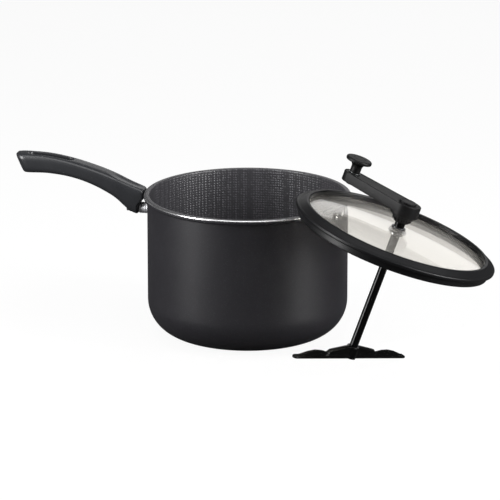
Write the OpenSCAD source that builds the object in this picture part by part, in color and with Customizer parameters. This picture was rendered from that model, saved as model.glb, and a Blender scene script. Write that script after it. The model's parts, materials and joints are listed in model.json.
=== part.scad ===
// Saucepan with a crank-stirred glass lid.
// Millimetres, +Z up. The origin is the centre of the pan's base, on the surface it stands on.
// The pan's handle points along -X and its steam vents face +X.
// The lid is off the pan: it stands beside it on its stirring paddle, tilted, and "stand"
// values place it. Every lid and crank piece is drawn about the shaft's own axis, with its
// zero at the underside of the paddle, and then carried to that place as one group.

/* [Pan] */
// Outer diameter of the pan's wall
pan_d = 204; // [170:1:250]
// Height from the base to the top of the rim
pan_h = 145; // [115:1:175]
// Thickness of the wall
wall_t = 2.2; // [1.6:0.1:3.5]
// Thickness of the floor
base_t = 3.2; // [2:0.1:6]
// Outer radius of the corner between base and wall
corner_r = 36; // [22:1:42]
// How far the rim bead stands out from the wall
bead_out = 3.5; // [2:0.1:6]
// Height of the rim bead
bead_h = 5; // [3.5:0.1:8]

/* [Steam vents] */
// Diameter of each vent hole
vent_d = 6; // [4:0.5:8]
// Number of vent holes in the row
vent_n = 5; // [3:1:7]
// Angle from one vent to the next, degrees
vent_pitch = 8; // [6:0.5:12]
// Depth of the vents' centres below the top of the rim
vent_drop = 11.2; // [9:0.1:16]

/* [Handle] */
// Length of the grip from its root to its end
grip_len = 130; // [110:1:170]
// Width of the grip
grip_w = 24; // [20:0.5:32]
// Width of the grip at its root
root_w = 21; // [18:0.5:28]
// Corner radius of the grip's section
grip_r = 5.5; // [4:0.1:6.5]
// Depth of the handle's stud below the top of the rim
stud_drop = 21; // [16:0.1:26]
// Length of the hanging slot
slot_len = 46; // [30:1:52]
// Width of the hanging slot
slot_w = 11; // [8:0.5:13]
// Plastic left between the slot and the end of the grip
slot_end = 14; // [10:0.5:20]
// Slant of the grip's end face, degrees
end_slant = 27; // [0:1:35]

/* [Handle fixing] */
// Diameter of the welded stud
stud_d = 6.5; // [6:0.1:8]
// Length of the stud beyond the ferrule
stud_in = 6.5; // [5:0.1:9]
// Outer diameter of the ferrule
ferrule_d = 11.4; // [10:0.1:14]
// Length of the ferrule between wall and grip
ferrule_len = 11; // [9:0.1:16]
// Diameter of the handle screw
screw_d = 4; // [3:0.1:4.2]
// Length of the handle screw under its head
screw_len = 11; // [9:0.1:12.5]
// Diameter of the handle screw's head
screw_head_d = 8; // [7:0.1:9]
// Height of the handle screw's head
screw_head_h = 3; // [2:0.1:4]
// Thickness of the handle screw's washer
screw_washer_t = 0.8; // [0.5:0.1:1.5]

/* [Lid] */
// How far the silicone lip reaches beyond the pan's wall
lip_over = 0.9; // [0.3:0.1:2]
// Thickness of the lid's glass
glass_t = 4; // [3:0.1:6]
// Rise of the glass dome from its edge to its centre
dome_rise = 8; // [5:0.5:20]
// Radial gap between the lid's skirt and the pan
skirt_gap = 1.6; // [0.5:0.1:3]
// Depth of the skirt below the pan's rim
skirt_h = 7; // [5:0.5:8]
// Radial thickness of silicone outside the glass edge
rim_back = 2.2; // [1.5:0.1:4]
// Width of glass edge that the silicone holds
rim_grip = 5; // [3:0.1:8]
// Height of the silicone crest above the middle of the lip
crest_h = 6.6; // [3:0.1:8]
// Thickness of the lip
lip_t = 3.8; // [3:0.1:5]

/* [Lid bush] */
// Wall of the bush that the shaft turns in
bush_wall = 0.85; // [0.6:0.05:1.5]
// Diameter of the bush's flange under the glass
bush_flange_d = 18; // [15:0.5:26]
// Thickness of the bush's flange
bush_flange_t = 2; // [1.2:0.1:3]
// Height of the bush above the glass
bush_up = 6.2; // [4:0.1:10]
// Thickness of the gasket under the glass
gasket_t = 1; // [0.6:0.1:2]
// Outer diameter of the push-on ring above the glass
ring_d = 14; // [12.5:0.5:18]
// Thickness of the push-on ring
ring_t = 1; // [0.6:0.1:2]

/* [Shaft and paddle] */
// Diameter of the drive shaft
shaft_d = 8.4; // [7:0.1:10]
// Gap between paddle and pan floor with the lid on
paddle_gap = 12; // [3:0.5:16]
// Length of the paddle from tip to tip
paddle_len = 172; // [120:1:174]
// Thickness of the paddle's blade
blade_t = 3; // [2:0.1:5]
// Width of the bar along the paddle's foot
bar_w = 7; // [5:0.1:10]
// Height of that bar
bar_h = 2.6; // [2:0.1:4]
// Height of the blade at the hub
blade_h = 13; // [11:0.5:18]
// Wall of the paddle's hub round the shaft
hub_wall = 2; // [1.5:0.1:4]
// Diameter of the cross pin through hub and shaft
cross_d = 2.4; // [2:0.1:3]
// Angle of the paddle about the shaft, degrees
paddle_angle = 38; // [0:1:175]

/* [Crank] */
// Distance from the shaft to the knob
crank_r = 71; // [50:0.5:85]
// Angle of the crank arm about the shaft, degrees
crank_angle = 131; // [0:1:359]
// Diameter of the arm's boss
boss_d = 28; // [24:0.5:36]
// Height of the boss
boss_h = 14.5; // [13:0.5:20]
// Width of the arm at the knob
arm_w = 20; // [16:0.5:24]
// Thickness of the arm
arm_t = 10; // [8:0.5:12]
// Diameter of the collar under the boss
collar_d = 20; // [16:0.5:24]
// Height of the collar
collar_h = 5.4; // [5:0.1:9]
// Diameter of the cap on the boss
cap_d = 17.6; // [15:0.1:20]
// How far the cap stands above the boss
cap_up = 1.8; // [1:0.1:3]
// Diameter of the hub screw
hub_screw_d = 4; // [3:0.1:5]

/* [Knob] */
// Diameter of the knob's disc
knob_d = 26; // [20:0.5:34]
// Height of the knob
knob_h = 14.6; // [12:0.1:22]
// Thickness of the disc
disc_t = 4.2; // [3:0.1:6]
// Diameter of the knob's neck
neck_d = 10.5; // [9.5:0.1:14]
// Diameter of the pin that the knob turns on
knob_pin_d = 6; // [5:0.1:6.5]
// Diameter of the plug in the top of the knob
plug_d = 12; // [11:0.1:16]

/* [Standing place] */
// Distance of the paddle from the pan's axis, along X
stand_x = 134; // [120:0.5:200]
// Distance of the paddle from the pan's axis, along Y
stand_y = -143.5; // [-200:0.5:-120]
// Height of the paddle's middle above the ground
stand_z = 24; // [10:0.5:60]
// Lean of the lid towards its right, degrees
lean_side = 19.3; // [0:0.1:30]
// Lean of the lid towards its front, degrees
lean_front = 3.4; // [0:0.1:15]
// Turn of the lid about the vertical, degrees
lean_turn = 21.5; // [-45:0.5:45]

/* [Clearances] */
// Radial clearance of pieces fixed in one another
fix_gap = 0.05; // [0.03:0.01:0.1]
// Radial clearance of a shaft or pin that turns
run_gap = 0.05; // [0.03:0.01:0.1]
// End clearance between pieces that turn on each other
end_gap = 0.3; // [0.2:0.05:0.5]

/* [Hidden] */
$fn = 96;
eps = 0.01;
far = 400;

// Pan
pan_r = pan_d / 2;
pan_in = pan_r - wall_t;
bead_r = pan_r + bead_out;
bead_round = 1.2;
corner_in = corner_r - base_t;

// Handle, measured outwards from the grip's root
root_x = pan_r + ferrule_len;
stud_z = pan_h - stud_drop;
stud_gap = 0.2;
weld_gap = 0.05;
// Each station: distance from the root, top and bottom above the stud's axis, width
tail = grip_len - 36;
stations = [[0, 20.4, -5.6, root_w],
            [8, 25, -3.2, (root_w + grip_w) / 2],
            [21, 31.4, 8.4, grip_w],
            [37, 37.3, 18, grip_w],
            [56, 43, 26, grip_w],
            [tail - 20, 47.6, 30.8, grip_w],
            [tail, 51, 32.4, grip_w],
            [grip_len + 6, 51.9, 31.2, grip_w]];
nose_reach = root_x - bead_r - 1.3;
nose_w = root_w - 3;
nose_h = 5.6;
nose_top = 19.2;
seat_x = stud_in + 2.6;
head_bore_d = screw_head_d + 2;

// Lid, measured up from the paddle's underside
seat_z = pan_h - base_t - paddle_gap;
lip_z = seat_z + lip_t / 2;
lip_r = pan_r + lip_over;
skirt_r = pan_in - skirt_gap;
glass_r = skirt_r - rim_back;
hold_gap = 0.1;
edge_top = lip_z + 0.8;
glass_top = edge_top + dome_rise;
glass_low = glass_top - glass_t;
dome_r = (glass_r * glass_r + dome_rise * dome_rise) / (2 * dome_rise);
dome_z = glass_top - dome_r;
bush_bore = shaft_d + 2 * run_gap;
bush_d = bush_bore + 2 * bush_wall;
bush_top = glass_top + bush_up;
gasket_top = under_at(bush_flange_d / 2) - fix_gap;
flange_top = gasket_top - gasket_t;
flange_low = flange_top - bush_flange_t;

// Crank, measured up from the paddle's underside
collar_low = bush_top + end_gap;
boss_low = collar_low + collar_h;
boss_top = boss_low + boss_h;
arm_low = boss_top - arm_t;
cap_t = 4.6;
cap_low = boss_top + cap_up - cap_t;
hub_head_d = hub_screw_d * 2;
hub_head_h = 2.6;
hub_web = 2.4;
head_low = cap_low - hub_head_h - 0.4;
shaft_top = head_low - hub_web;
shaft_low = 2.7;
tap_len = 14;
washer_t = 1;
washer_top = flange_low - end_gap;
clip_t = 0.8;
clip_top = washer_top - washer_t - fix_gap;
groove_d = shaft_d - 1.5;
cross_z = 7.4;
hub_r = shaft_d / 2 + hub_wall;
hub_h = blade_h - 0.6;

// Knob
knob_washer_t = 0.5;
knob_low = boss_top + knob_washer_t + 2 * fix_gap + end_gap / 2;
knob_top = knob_low + knob_h;
plug_t = 2;
plug_low = knob_top - plug_t;
lip_floor = knob_low + 7.4;
pin_top = lip_floor + end_gap;
pin_head_h = 2;
knob_screw_d = 3;
knob_screw_head_d = 8.2;
knob_screw_head_h = 1.6;

// A point on an arc, and an arc of n steps between two angles
function on_arc(c, r, a) = [c[0] + r * cos(a), c[1] + r * sin(a)];
function arc(c, r, a, b, n) = [for (i = [0:n]) on_arc(c, r, a + (b - a) * i / n)];
// Height of the dome's upper and lower face at radius r
function dome_at(r) = dome_z + sqrt(dome_r * dome_r - r * r);
function under_at(r) = dome_z + sqrt(pow(dome_r - glass_t, 2) - r * r);

// Turned solid with its axis along Z, between two heights
module disc(d, low, high) {
  translate([0, 0, low])
    cylinder(d = d, h = high - low);
}

// Flat ring between two heights
module washer(d, bore, low, high) {
  difference() {
    disc(d, low, high);
    disc(bore, low - 1, high + 1);
  }
}

// Rod along -X at the stud's height, from one distance off the pan's axis to another
module rod(d, near, end) {
  translate([-end, 0, stud_z])
    rotate([0, 90, 0])
      cylinder(d = d, h = end - near);
}

// Everything that stands beside the pan goes through this
module stand() {
  translate([stand_x, stand_y, stand_z])
    rotate([lean_front, lean_side, lean_turn])
      children();
}

// To the crank's angle, and out to its knob
module at_crank() {
  rotate([0, 0, crank_angle])
    children();
}
module at_knob() {
  at_crank()
    translate([crank_r, 0, 0])
      children();
}

// ---------------------------------------------------------------- pan

module pan_section() {
  bead_low = pan_h - bead_h;
  difference() {
    union() {
      square([pan_r - corner_r, pan_h]);
      translate([0, corner_r])
        square([pan_r, pan_h - corner_r]);
      translate([pan_r - corner_r, corner_r])
        circle(r = corner_r);
      // rim bead with rounded edges
      translate([pan_r - 2, bead_low + bead_round])
        square([bead_out + 2, bead_h - 2 * bead_round]);
      translate([pan_r - 2, bead_low])
        square([bead_out + 2 - bead_round, bead_h]);
      translate([bead_r - bead_round, bead_low + bead_round])
        circle(r = bead_round);
      translate([bead_r - bead_round, pan_h - bead_round])
        circle(r = bead_round);
    }
    // hollow
    translate([-1, base_t])
      square([pan_in - corner_in + 1, pan_h]);
    translate([-1, corner_r])
      square([pan_in + 1, pan_h]);
    translate([pan_in - corner_in, corner_r])
      circle(r = corner_in);
    translate([-far, -far])
      square([far, 2 * far]);
  }
}

module pan_body() {
  color("#3b3c3e")
    difference() {
      rotate_extrude()
        pan_section();
      for (i = [0:vent_n - 1])
        rotate([0, 0, (i - (vent_n - 1) / 2) * vent_pitch])
          translate([pan_in - 5, 0, pan_h - vent_drop])
            rotate([0, 90, 0])
              cylinder(d = vent_d, h = wall_t + bead_out + 10);
    }
}

module weld_stud() {
  color("#b9babc")
    difference() {
      rod(stud_d, pan_r - 1, root_x + stud_in);
      cylinder(r = pan_r + weld_gap, h = far);
      rod(screw_d + 2 * fix_gap, root_x + seat_x - screw_len - 0.6, root_x + stud_in + 1);
    }
}

module ferrule() {
  color("#c9cacc")
    difference() {
      rod(ferrule_d, pan_r - 1, root_x - fix_gap);
      cylinder(r = pan_r + stud_gap, h = far);
      rod(stud_d + 2 * fix_gap, pan_r - 2, root_x + 1);
    }
}

// Thin slice of the grip at one station
module grip_slice(s) {
  top = stud_z + s[1];
  low = stud_z + s[2];
  half = s[3] / 2 - grip_r;
  for (y = [-half, half])
    for (z = [low + grip_r, top - grip_r])
      translate([-root_x - s[0], y, z])
        rotate([0, 90, 0])
          cylinder(r = grip_r, h = eps, $fn = 32);
}

// Outline of the grip seen from above, with its rounded end
module grip_plan() {
  end_x = root_x + grip_len;
  round = grip_w / 2 - 2;
  translate([-end_x + round, -grip_w / 2])
    square([grip_len, grip_w]);
  translate([-end_x, -grip_w / 2 + round])
    square([grip_len, grip_w - 2 * round]);
  for (y = [-1, 1])
    translate([-end_x + round, y * (grip_w / 2 - round)])
      circle(r = round);
}

module hanging_slot() {
  end_x = root_x + grip_len - slot_end;
  for (x = [end_x - slot_w / 2, end_x - slot_len + slot_w / 2])
    translate([-x, 0, stud_z])
      cylinder(d = slot_w, h = 80);
  translate([-end_x + slot_w / 2, -slot_w / 2, stud_z])
    cube([slot_len - slot_w, slot_w, 80]);
}

module handle_grip() {
  color("#232426")
    difference() {
      union() {
        intersection() {
          for (i = [0:len(stations) - 2])
            hull() {
              grip_slice(stations[i]);
              grip_slice(stations[i + 1]);
            }
          translate([0, 0, stud_z - 30])
            linear_extrude(height = 120)
              grip_plan();
        }
        // nose that shields the ferrule from above
        translate([-root_x - 3, -nose_w / 2, stud_z + nose_top - nose_h])
          cube([nose_reach + 3, nose_w, nose_h]);
      }
      // slanted end face
      translate([-root_x - grip_len, 0, stud_z + stations[len(stations) - 1][1]])
        rotate([0, -end_slant, 0])
          translate([-40, -40, -60])
            cube([40, 80, 90]);
      hanging_slot();
      rod(stud_d + 2 * fix_gap, root_x - 1, root_x + stud_in + 0.1);
      rod(screw_d + 0.5, root_x, root_x + seat_x + 1);
      rod(head_bore_d, root_x + seat_x, root_x + seat_x + 34);
    }
}

module screw_washer() {
  near = root_x + seat_x + fix_gap;
  color("#b9babc")
    difference() {
      rod(screw_head_d + 1.4, near, near + screw_washer_t);
      rod(screw_d + 2 * fix_gap, near - 1, near + screw_washer_t + 1);
    }
}

module handle_screw() {
  head = root_x + seat_x + screw_washer_t + 2 * fix_gap;
  color("#c9cacc")
    difference() {
      union() {
        rod(screw_d, head - screw_len, head + 0.5);
        rod(screw_head_d, head, head + screw_head_h);
      }
      // cross recess
      for (a = [0, 90])
        translate([-head - screw_head_h, 0, stud_z])
          rotate([a, 0, 0])
            cube([3, 4.4, 0.9], center = true);
    }
}

// ---------------------------------------------------------------- lid

module lid_glass() {
  color("#cfd6d6", 0.35)
    stand()
      difference() {
        intersection() {
          translate([0, 0, dome_z])
            sphere(r = dome_r);
          disc(2 * glass_r, edge_top - 20, glass_top + 5);
        }
        translate([0, 0, dome_z])
          sphere(r = dome_r - glass_t);
        disc(bush_d + 2 * fix_gap, edge_top - 20, glass_top + 5);
      }
}

// Section of the silicone rim: lip, crest, groove for the glass edge, skirt
module rim_section() {
  groove_r = glass_r + hold_gap;
  inner_r = glass_r - rim_grip;
  bead = lip_t / 2;
  crest_c = [inner_r + 1.4, lip_z + crest_h - 1.2];
  skirt_low = seat_z - skirt_h;
  difference() {
    polygon(concat(
      arc([lip_r - bead, lip_z], bead, -90, 80, 12),
      arc(crest_c, 1.2, 80, 180, 8),
      [[inner_r, dome_at(inner_r) - 1]],
      [[inner_r + 0.6, under_at(inner_r) - 0.4]],
      arc([inner_r + 2, skirt_low + 1], 1, 180, 270, 5),
      arc([skirt_r - 1, skirt_low + 1], 1, 270, 360, 5),
      [[skirt_r, seat_z - 0.8], [skirt_r + 0.8, seat_z]]));
    // groove that holds the glass
    polygon([[inner_r - 3, under_at(inner_r - 3) - hold_gap],
             [groove_r, under_at(glass_r) - hold_gap],
             [groove_r, dome_at(glass_r) + hold_gap],
             [inner_r - 3, dome_at(inner_r - 3) + hold_gap]]);
  }
}

module silicone_rim() {
  color("#1c1d1f")
    stand()
      rotate_extrude($fn = 180)
        rim_section();
}

module lid_bush() {
  color("#26272a")
    stand()
      difference() {
        union() {
          disc(bush_d, flange_low, bush_top);
          disc(bush_flange_d, flange_low, flange_top);
        }
        disc(bush_bore, flange_low - 1, bush_top + 1);
      }
}

module bush_gasket() {
  color("#3a3a3c")
    stand()
      washer(bush_flange_d - 1, bush_d + 2 * fix_gap, flange_top + fix_gap, gasket_top);
}

module bush_ring() {
  color("#c9cacc")
    stand()
      washer(ring_d, bush_d + 2 * fix_gap, glass_top + fix_gap, glass_top + fix_gap + ring_t);
}

// ---------------------------------------------------------------- shaft and paddle

module drive_shaft() {
  color("#202124")
    stand()
      difference() {
        disc(shaft_d, shaft_low, shaft_top);
        washer(shaft_d + 2, groove_d, clip_top - clip_t - fix_gap, clip_top + fix_gap);
        disc(hub_screw_d + 2 * fix_gap, shaft_top - tap_len, shaft_top + 1);
        rotate([0, 0, paddle_angle])
          translate([0, 0, cross_z])
            rotate([90, 0, 0])
              cylinder(d = cross_d + 2 * fix_gap, h = 4 * shaft_d, center = true);
      }
}

module thrust_washer() {
  color("#c9cacc")
    stand()
      washer(shaft_d + 6, shaft_d + 2 * fix_gap, washer_top - washer_t, washer_top);
}

module retaining_clip() {
  color("#8f9194")
    stand()
      difference() {
        washer(shaft_d + 4.4, groove_d + 2 * fix_gap, clip_top - clip_t, clip_top);
        translate([0, -groove_d * 0.4, clip_top - 2 * clip_t])
          cube([shaft_d + 5, groove_d * 0.8, 3 * clip_t]);
      }
}

// Outline of half the blade, from the hub out to its tip
function blade_half(s) = [
  [s * 10, blade_h],
  [s * 34, 9],
  [s * 38, 6.6],
  [s * 44, 7.6],
  [s * (paddle_len / 2 - 30), 8.6],
  [s * (paddle_len / 2 - 20), 7.4],
  [s * (paddle_len / 2 - 6), 3.6],
  [s * (paddle_len / 2 - 1.5), bar_h]];

module paddle() {
  tip = paddle_len / 2;
  left = blade_half(-1);
  right = blade_half(1);
  last = len(left) - 1;
  color("#1d1e20")
    stand()
      rotate([0, 0, paddle_angle])
        difference() {
          union() {
            // upright blade
            translate([0, blade_t / 2, 0])
              rotate([90, 0, 0])
                linear_extrude(height = blade_t)
                  polygon(concat([[-tip + 1.5, bar_h / 2]],
                                 [for (i = [0:last]) left[last - i]],
                                 right,
                                 [[tip - 1.5, bar_h / 2]]));
            // foot bar with round ends
            translate([-tip + bar_w / 2, -bar_w / 2, 0])
              cube([paddle_len - bar_w, bar_w, bar_h]);
            for (s = [-1, 1])
              translate([s * (tip - bar_w / 2), 0, 0])
                cylinder(d = bar_w, h = bar_h);
            // hub
            disc(2 * hub_r, 0, hub_h);
          }
          disc(shaft_d + 2 * fix_gap, shaft_low - fix_gap, blade_h + 5);
          translate([0, 0, cross_z])
            rotate([90, 0, 0])
              cylinder(d = cross_d + 2 * fix_gap, h = 6 * shaft_d, center = true);
        }
}

module cross_pin() {
  color("#c9cacc")
    stand()
      rotate([0, 0, paddle_angle])
        translate([0, 0, cross_z])
          rotate([90, 0, 0])
            cylinder(d = cross_d, h = 2 * hub_r - 0.6, center = true);
}

// ---------------------------------------------------------------- crank

module hub_collar() {
  step = 2;
  color("#232427")
    stand()
      difference() {
        union() {
          disc(collar_d - 4, collar_low, boss_low - fix_gap);
          disc(collar_d, collar_low + step, boss_low - fix_gap);
        }
        disc(shaft_d + 2 * fix_gap, collar_low - 1, boss_low + 1);
      }
}

// Plan of the arm: two circles and a band between them, a hair inside their outer tangents
module arm_plan() {
  a = boss_d / 2 - 0.02;
  b = arm_w / 2 - 0.02;
  t = asin((a - b) / crank_r);
  circle(d = boss_d);
  translate([crank_r, 0])
    circle(d = arm_w);
  polygon([[a * sin(t), a * cos(t)],
           [crank_r + b * sin(t), b * cos(t)],
           [crank_r + b * sin(t), -b * cos(t)],
           [a * sin(t), -a * cos(t)]]);
}

module crank_arm() {
  color("#2a2b2e")
    stand()
      at_crank()
        difference() {
          union() {
            disc(boss_d, boss_low, boss_top);
            translate([0, 0, arm_low])
              linear_extrude(height = arm_t)
                arm_plan();
          }
          disc(shaft_d + 2 * fix_gap, boss_low - 1, shaft_top + fix_gap);
          disc(hub_screw_d + 0.4, boss_low, boss_top);
          disc(hub_head_d + 1, head_low, boss_top);
          disc(cap_d + 2 * fix_gap, cap_low - fix_gap, boss_top + 1);
          translate([crank_r, 0, 0])
            disc(knob_pin_d + 2 * fix_gap, boss_low - 1, boss_top + 1);
        }
}

// Screw with a cross recess in its head
module cap_screw(d, length, head_d, head_h, head_at) {
  difference() {
    union() {
      disc(d, head_at - length, head_at + head_h / 2);
      disc(head_d, head_at, head_at + head_h);
    }
    for (a = [0, 90])
      rotate([0, 0, a])
        translate([0, 0, head_at + head_h])
          cube([head_d * 0.55, 0.8, head_h], center = true);
  }
}

module hub_screw() {
  color("#c9cacc")
    stand()
      cap_screw(hub_screw_d, hub_web + tap_len - 2, hub_head_d, hub_head_h, head_low + fix_gap);
}

module hub_cap() {
  edge = 0.8;
  color("#2d2e31")
    stand()
      union() {
        disc(cap_d, cap_low, boss_top + cap_up - edge);
        translate([0, 0, boss_top + cap_up - edge])
          cylinder(d1 = cap_d, d2 = cap_d - 2 * edge, h = edge);
      }
}

module knob_pin() {
  color("#c9cacc")
    stand()
      at_knob()
        difference() {
          union() {
            disc(knob_pin_d, arm_low - pin_head_h, pin_top);
            disc(knob_pin_d + 4, arm_low - pin_head_h - fix_gap, arm_low - fix_gap);
          }
          disc(knob_screw_d + 2 * fix_gap, pin_top - 7, pin_top + 1);
        }
}

module knob_washer() {
  color("#c9cacc")
    stand()
      at_knob()
        washer(neck_d + 1, knob_pin_d + 2 * fix_gap, boss_top + fix_gap,
               boss_top + fix_gap + knob_washer_t);
}

module knob_screw() {
  color("#c9cacc")
    stand()
      at_knob()
        cap_screw(knob_screw_d, 6, knob_screw_head_d, knob_screw_head_h, pin_top + fix_gap);
}

// Mushroom knob: neck that flares into a disc with rounded edges
module knob_section() {
  disc_low = knob_top - disc_t;
  flare = 5;
  edge = 1.4;
  polygon(concat(
    [[0, knob_low], [neck_d / 2, knob_low]],
    [for (i = [0:10]) on_arc([neck_d / 2 + flare, disc_low - flare], flare, 180 - 9 * i)],
    arc([knob_d / 2 - edge, disc_low + edge], edge, -90, 0, 6),
    arc([knob_d / 2 - edge, knob_top - edge], edge, 0, 90, 6),
    [[0, knob_top]]));
}

module knob_grip() {
  color("#2b2c2f")
    stand()
      at_knob()
        difference() {
          rotate_extrude()
            knob_section();
          disc(knob_pin_d + 2 * run_gap, knob_low - 1, knob_top);
          disc(knob_screw_head_d + 1, lip_floor, knob_top);
          disc(plug_d + 2 * fix_gap, plug_low - fix_gap, knob_top + 1);
        }
}

module knob_plug() {
  color("#313236")
    stand()
      at_knob()
        disc(plug_d, plug_low, knob_top - 0.2);
}

pan_body();
weld_stud();
ferrule();
handle_grip();
screw_washer();
handle_screw();
lid_glass();
silicone_rim();
lid_bush();
bush_gasket();
bush_ring();
drive_shaft();
thrust_washer();
retaining_clip();
paddle();
cross_pin();
hub_collar();
crank_arm();
hub_screw();
hub_cap();
knob_pin();
knob_washer();
knob_screw();
knob_grip();
knob_plug();
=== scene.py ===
"""Saucepan with a crank-stirred glass lid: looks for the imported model, laid out as an add-on."""
import json
import math

import bmesh
import bpy
import numpy as np
from bpy.props import FloatProperty, FloatVectorProperty, IntProperty, PointerProperty
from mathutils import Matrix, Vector


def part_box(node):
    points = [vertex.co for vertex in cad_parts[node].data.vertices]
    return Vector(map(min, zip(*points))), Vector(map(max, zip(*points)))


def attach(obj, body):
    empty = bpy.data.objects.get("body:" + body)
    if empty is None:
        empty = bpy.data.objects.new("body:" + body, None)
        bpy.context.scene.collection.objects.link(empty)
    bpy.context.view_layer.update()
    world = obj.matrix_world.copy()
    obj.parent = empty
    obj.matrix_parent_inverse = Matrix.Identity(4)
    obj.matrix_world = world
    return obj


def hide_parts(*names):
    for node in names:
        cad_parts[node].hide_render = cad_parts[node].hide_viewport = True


bl_info = {
    "name": "Stirring saucepan",
    "version": (1, 0, 0),
    "blender": (4, 5, 0),
    "location": "View3D > Sidebar > Saucepan",
    "description": "Builds the surfaces and finishes of a saucepan with a crank-stirred glass lid",
    "category": "Object",
}

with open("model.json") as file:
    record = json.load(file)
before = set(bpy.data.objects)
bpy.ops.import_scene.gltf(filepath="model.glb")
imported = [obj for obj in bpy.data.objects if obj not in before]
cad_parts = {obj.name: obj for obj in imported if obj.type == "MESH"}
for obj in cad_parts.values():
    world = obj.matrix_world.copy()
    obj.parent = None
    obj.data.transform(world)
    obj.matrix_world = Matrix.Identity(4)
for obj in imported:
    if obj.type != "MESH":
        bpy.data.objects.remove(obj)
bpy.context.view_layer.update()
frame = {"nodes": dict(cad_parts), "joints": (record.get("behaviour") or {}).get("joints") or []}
NODES = frame["nodes"]
JOINTS = {joint["name"]: joint for joint in frame["joints"]}
MM = 0.001
INSIDE_BOX = 4e-5  # how far the rim bead keeps inside the frame's box, in m
MERGE = 1e-7  # points nearer than this are one, in m

# ------------------------------------------------------------------ sizes taken from the frame
PAN_BOX = np.array(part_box("pan_body")) / MM
STUD_Z = float(np.mean([corner[2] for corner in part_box("ferrule")])) / MM

# Heights along the shaft, in mm above the paddle's underside
SEAT = 129.8  # underside of the silicone lip
LIP = 131.7  # height that the lip, the groove and the crest are measured from
CREST = LIP + 6.6
GLASS_TOP = 140.5  # glass beside the bush
GLASS_LOW = GLASS_TOP - 4.0
BUSH_TOP = 146.7
BOSS_LOW = 152.4
ARM_LOW = 156.9
BOSS_TOP = 166.9

# Radii round the shaft, in mm
BUSH_BORE = 4.26
HUB_BORE = 4.25
SLEEVE = 5.1  # bush where it goes through the glass
RING_BORE = 5.15  # gasket and push-on ring
GLASS_BORE = 5.2

PADDLE_TURN = math.radians(38 - 131)  # paddle's direction measured from the crank arm
PADDLE_FLOOR = 2.7  # bottom of the paddle's socket for the shaft


def axes_frame(origin, z_axis, x_hint):
    """Origin in mm and three unit vectors square to each other (x, y, z), as a 4x3 array."""
    z = np.array(z_axis, float)
    z /= np.linalg.norm(z)
    x = np.array(x_hint, float)
    x -= z * (x @ z)
    x /= np.linalg.norm(x)
    return np.array([origin, x, np.cross(z, x), z])


def shaft_frame():
    """The shaft's axis with its zero at the paddle's underside; x points along the crank arm."""
    hub = np.array(JOINTS["crank_turn"]["pos_m"]) / MM
    knob = np.array(JOINTS["knob_spin"]["pos_m"]) / MM
    axis = np.array(JOINTS["crank_turn"]["axis"])
    axis /= np.linalg.norm(axis)
    return axes_frame(hub - axis * BOSS_LOW, axis, knob - hub)


STUD_FRAME = axes_frame([0, 0, STUD_Z], [-1, 0, 0], [0, 0, 1])
SHAFT_FRAME = shaft_frame()


# ------------------------------------------------------------------ properties
def length(name, text, default, low=0.0, high=1.0):
    """Property for a size in metres"""
    return FloatProperty(name=name, description=text, default=default, min=low, max=high,
                         unit="LENGTH", precision=4)


def colour(name, text, default):
    """Property for an sRGB colour"""
    return FloatVectorProperty(name=name, description=text, default=default, size=3,
                               min=0.0, max=1.0, subtype="COLOR_GAMMA")


def hex_rgb(code):
    """sRGB hex to three numbers from 0 to 1."""
    return tuple(int(code[i:i + 2], 16) / 255 for i in (1, 3, 5))


def linear(rgb):
    """sRGB colour to the linear one that a shader takes, with alpha 1."""
    c = np.array(rgb, float)
    c = np.where(c <= 0.04045, c / 12.92, ((c + 0.055) / 1.055) ** 2.4)
    return (*c.tolist(), 1.0)


def in_mm(group, names):
    """Sizes of a group in mm, in the order of the names"""
    return [getattr(group, name) / MM for name in names.split()]


class PanSettings(bpy.types.PropertyGroup):
    """Pan and its finishes"""
    bead_radius: length("Rim radius", "Outer radius of the rim bead",
                        float(PAN_BOX[1][1]) * MM - INSIDE_BOX)
    height: length("Height", "Height of the pan", float(PAN_BOX[1][2]) * MM)
    wall_radius: length("Wall radius", "Outer radius of the wall", 0.102)
    wall: length("Wall", "Thickness of the wall", 0.0022)
    base: length("Floor", "Thickness of the floor", 0.0032)
    corner: length("Corner", "Outer radius between base and wall", 0.036)
    bead_height: length("Rim height", "Height of the rim bead", 0.005)
    vent: length("Vent", "Diameter of a steam vent", 0.006)
    vent_drop: length("Vent depth", "Vents' centres below the rim", 0.0112)
    vents: IntProperty(name="Vents", description="Number of steam vents",
                       default=5, min=1, max=5)
    outside: colour("Outside", "Baked coating outside", hex_rgb("#222125"))
    inside: colour("Inside", "Non-stick coating inside", hex_rgb("#525155"))
    metal: colour("Bare metal", "Turned aluminium of the rim", hex_rgb("#dededf"))


class HandleSettings(bpy.types.PropertyGroup):
    """Handle grip"""
    reach: length("Root", "Distance of the grip's root from the pan's axis", 0.113)
    grip: length("Length", "Length of the grip", 0.130)
    width: length("Width", "Width of the grip", 0.024)
    slot_length: length("Slot length", "Length of the hanging slot", 0.046)
    slot_width: length("Slot width", "Width of the hanging slot", 0.011)
    body: colour("Grip", "Moulded phenolic", hex_rgb("#26272a"))


class LidSettings(bpy.types.PropertyGroup):
    """Glass, silicone rim and bush"""
    glass_radius: length("Glass radius", "Radius of the glass", 0.096)
    glass: length("Glass", "Thickness of the glass", 0.004)
    dome: length("Dome radius", "Radius of the dome's upper face", 0.580)
    lip_radius: length("Lip radius", "Outer radius of the silicone lip", 0.1027)
    skirt_radius: length("Skirt radius", "Outer radius of the silicone skirt", 0.0982)
    tint: colour("Glass tint", "Tint of the tempered glass", hex_rgb("#dfdcd6"))
    silicone: colour("Silicone", "Black silicone", hex_rgb("#0b0b0d"))


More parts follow.
